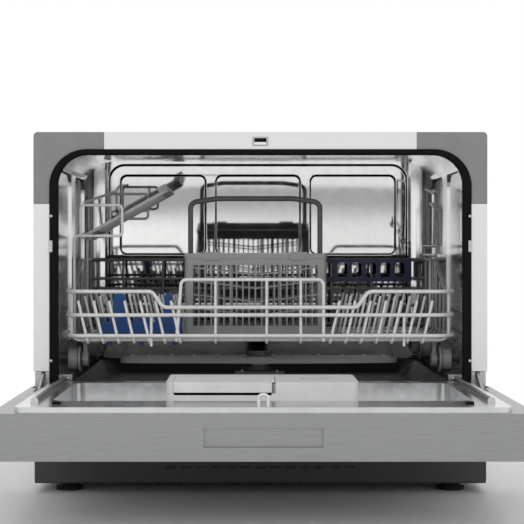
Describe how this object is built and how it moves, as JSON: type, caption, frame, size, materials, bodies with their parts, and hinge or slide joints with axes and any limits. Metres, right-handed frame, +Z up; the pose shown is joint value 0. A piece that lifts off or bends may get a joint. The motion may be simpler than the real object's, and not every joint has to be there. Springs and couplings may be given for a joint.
{
  "type": "countertop dishwasher",
  "caption": "Countertop dishwasher with a drop-down door, wire rack on rollers, cutlery basket, folding cup shelves and a turning spray arm.",
  "frame": {"origin": "middle of the footprint of the machine with its door open, on the worktop", "axes": "+Z up, +X to the right and +Y to the back, seen from the user's side"},
  "size_m": [0.55, 0.789, 0.438],
  "materials": {
    "tray_plastic": "moulded",
    "silver_paint": "satin paint",
    "galvanised": "plain sheet",
    "brushed_front": "brushed",
    "grey_cover": "moulded",
    "tub_steel": "polished stainless",
    "tub_base": "moulded",
    "seal_rubber": "moulded",
    "bezel_plastic": "moulded",
    "dark_plastic": "moulded",
    "plinth_paint": "satin paint",
    "foot_rubber": "moulded",
    "zinc_steel": "zinc plated steel",
    "spring_steel": "wound wire",
    "sump_plastic": "moulded",
    "filter_steel": "perforated",
    "pump_plastic": "moulded",
    "heater_steel": "drawn tube",
    "white_plastic": "moulded",
    "gland_rubber": "moulded",
    "rail_plastic": "moulded",
    "filter_plastic": "moulded",
    "spray_plastic": "moulded",
    "spray_nut_plastic": "moulded",
    "coated_wire": "nylon coating",
    "comb_blue": "moulded",
    "rail_navy": "moulded",
    "carrier_plastic": "moulded",
    "wheel_plastic": "moulded",
    "shelf_plastic": "moulded",
    "basket_plastic": "moulded",
    "handle_plastic": "moulded",
    "liner_steel": "fine brushed",
    "panel_plastic": "gloss",
    "board_green": "coated board",
    "hook_steel": "polished",
    "dispenser_plastic": "moulded",
    "cap_plastic": "moulded",
    "button_plastic": "moulded"
  },
  "bodies": {
    "cabinet": {"base_tray": "tray_plastic", "cabinet_wrap": "silver_paint", "rear_panel": "galvanised", "front_frame": "brushed_front", "corner_covers": "grey_cover", "tub_wrap": "tub_steel", "tub_back": "tub_steel", "tub_floor": "tub_base", "door_gasket": "seal_rubber", "sill_seal": "seal_rubber", "latch_bezel": "bezel_plastic", "latch_catch": "dark_plastic", "plinth": "plinth_paint", "feet": "foot_rubber", "hinge_brackets": "zinc_steel", "hinge_pins": "zinc_steel", "door_springs": "spring_steel", "sump": "sump_plastic", "fine_filter": "filter_steel", "circulation_pump": "dark_plastic", "drain_pump": "pump_plastic", "heater": "heater_steel", "inlet_valve": "white_plastic", "drain_spigot": "pump_plastic", "cord_gland": "gland_rubber", "rail_ends": "rail_plastic", "spray_hub": "dark_plastic"},
    "filter": {"filter_cup": "filter_plastic"},
    "spray": {"spray_arm": "spray_plastic", "spray_nut": "spray_nut_plastic"},
    "rack": {"rack_floor": "coated_wire", "rack_front": "coated_wire", "rack_rear": "coated_wire", "rack_side_left": "coated_wire", "rack_side_right": "coated_wire", "plate_tines": "coated_wire", "shelf_hangers": "coated_wire", "plate_comb": "comb_blue", "glass_rail": "rail_navy", "wheel_carriers": "carrier_plastic"},
    "wheel_fl": {"wheel_front_left": "wheel_plastic"},
    "wheel_fr": {"wheel_front_right": "wheel_plastic"},
    "wheel_rl": {"wheel_rear_left": "wheel_plastic"},
    "wheel_rr": {"wheel_rear_right": "wheel_plastic"},
    "shelf_left": {"cup_shelf_left": "shelf_plastic"},
    "shelf_right": {"cup_shelf_right": "coated_wire"},
    "basket": {"cutlery_basket": "basket_plastic"},
    "basket_handle": {"cutlery_handle": "handle_plastic"},
    "door": {"door_panel": "silver_paint", "door_liner": "liner_steel", "control_panel": "panel_plastic", "control_board": "board_green", "hinge_arms": "zinc_steel", "latch_hook": "hook_steel", "dispenser_body": "dispenser_plastic"},
    "lid": {"dispenser_lid": "dispenser_plastic"},
    "rinse": {"rinse_cap": "cap_plastic"},
    "button_power": {"power_button": "button_plastic"},
    "button_program": {"program_button": "button_plastic"},
    "button_start": {"start_button": "button_plastic"}
  },
  "joints": [
    {"name": "door_hinge", "type": "hinge", "parent": "cabinet", "child": "door", "pos_m": [0, -0.0735, 0.115], "axis": [-1, 0, 0], "range_deg": [0, 90]},
    {"name": "rack_slide", "type": "slide", "parent": "cabinet", "child": "rack", "axis": [0, 1, 0], "range_m": [-0.29, 0]},
    {"name": "wheel_fl_spin", "type": "hinge", "parent": "rack", "child": "wheel_fl", "pos_m": [-0.235, 0.0365, 0.1573], "axis": [-1, 0, 0], "continuous": true},
    {"name": "wheel_fr_spin", "type": "hinge", "parent": "rack", "child": "wheel_fr", "pos_m": [0.235, 0.0365, 0.1573], "axis": [-1, 0, 0], "continuous": true},
    {"name": "wheel_rl_spin", "type": "hinge", "parent": "rack", "child": "wheel_rl", "pos_m": [-0.235, 0.2705, 0.1573], "axis": [-1, 0, 0], "continuous": true},
    {"name": "wheel_rr_spin", "type": "hinge", "parent": "rack", "child": "wheel_rr", "pos_m": [0.235, 0.2705, 0.1573], "axis": [-1, 0, 0], "continuous": true},
    {"name": "spray_arm_spin", "type": "hinge", "parent": "cabinet", "child": "spray", "pos_m": [0, 0.1505, 0.15], "axis": [0, 0, 1], "continuous": true},
    {"name": "filter_twist", "type": "hinge", "parent": "cabinet", "child": "filter", "pos_m": [0, 0.0705, 0.12], "axis": [0, 0, 1], "range_deg": [0, 45]},
    {"name": "shelf_left_fold", "type": "hinge", "parent": "rack", "child": "shelf_left", "pos_m": [-0.224, 0.1385, 0.313], "axis": [0, -1, 0], "range_deg": [-29, 25]},
    {"name": "shelf_right_fold", "type": "hinge", "parent": "rack", "child": "shelf_right", "pos_m": [0.224, 0.1215, 0.288], "axis": [0, 1, 0], "range_deg": [-92, 0]},
    {"name": "basket_lift", "type": "slide", "parent": "rack", "child": "basket", "axis": [0, 0, 1], "range_m": [0, 0.035]},
    {"name": "basket_handle_fold", "type": "hinge", "parent": "basket", "child": "basket_handle", "pos_m": [-0.0055, 0.0745, 0.2816], "axis": [-1, 0, 0], "range_deg": [-72, 0]},
    {"name": "dispenser_lid_flip", "type": "hinge", "parent": "door", "child": "lid", "pos_m": [0.0116, -0.2425, 0.1542], "axis": [0, -1, 0], "range_deg": [-175, 0]},
    {"name": "rinse_cap_turn", "type": "hinge", "parent": "door", "child": "rinse", "pos_m": [0.058, -0.2325, 0.15], "axis": [0, 0, 1], "range_deg": [0, 90]},
    {"name": "power_button_press", "type": "slide", "parent": "door", "child": "button_power", "axis": [0, 0, 1], "range_m": [0, 0.0015], "stiffness_N_per_m": 400},
    {"name": "program_button_press", "type": "slide", "parent": "door", "child": "button_program", "axis": [0, 0, 1], "range_m": [0, 0.0015], "stiffness_N_per_m": 400},
    {"name": "start_button_press", "type": "slide", "parent": "door", "child": "button_start", "axis": [0, 0, 1], "range_m": [0, 0.0015], "stiffness_N_per_m": 400}
  ],
  "couplings": [
    {"joint": "wheel_fl_spin", "follows": "rack_slide", "rad_per_m": 72.993},
    {"joint": "wheel_fr_spin", "follows": "rack_slide", "rad_per_m": 72.993},
    {"joint": "wheel_rl_spin", "follows": "rack_slide", "rad_per_m": 72.993},
    {"joint": "wheel_rr_spin", "follows": "rack_slide", "rad_per_m": 72.993}
  ]
}
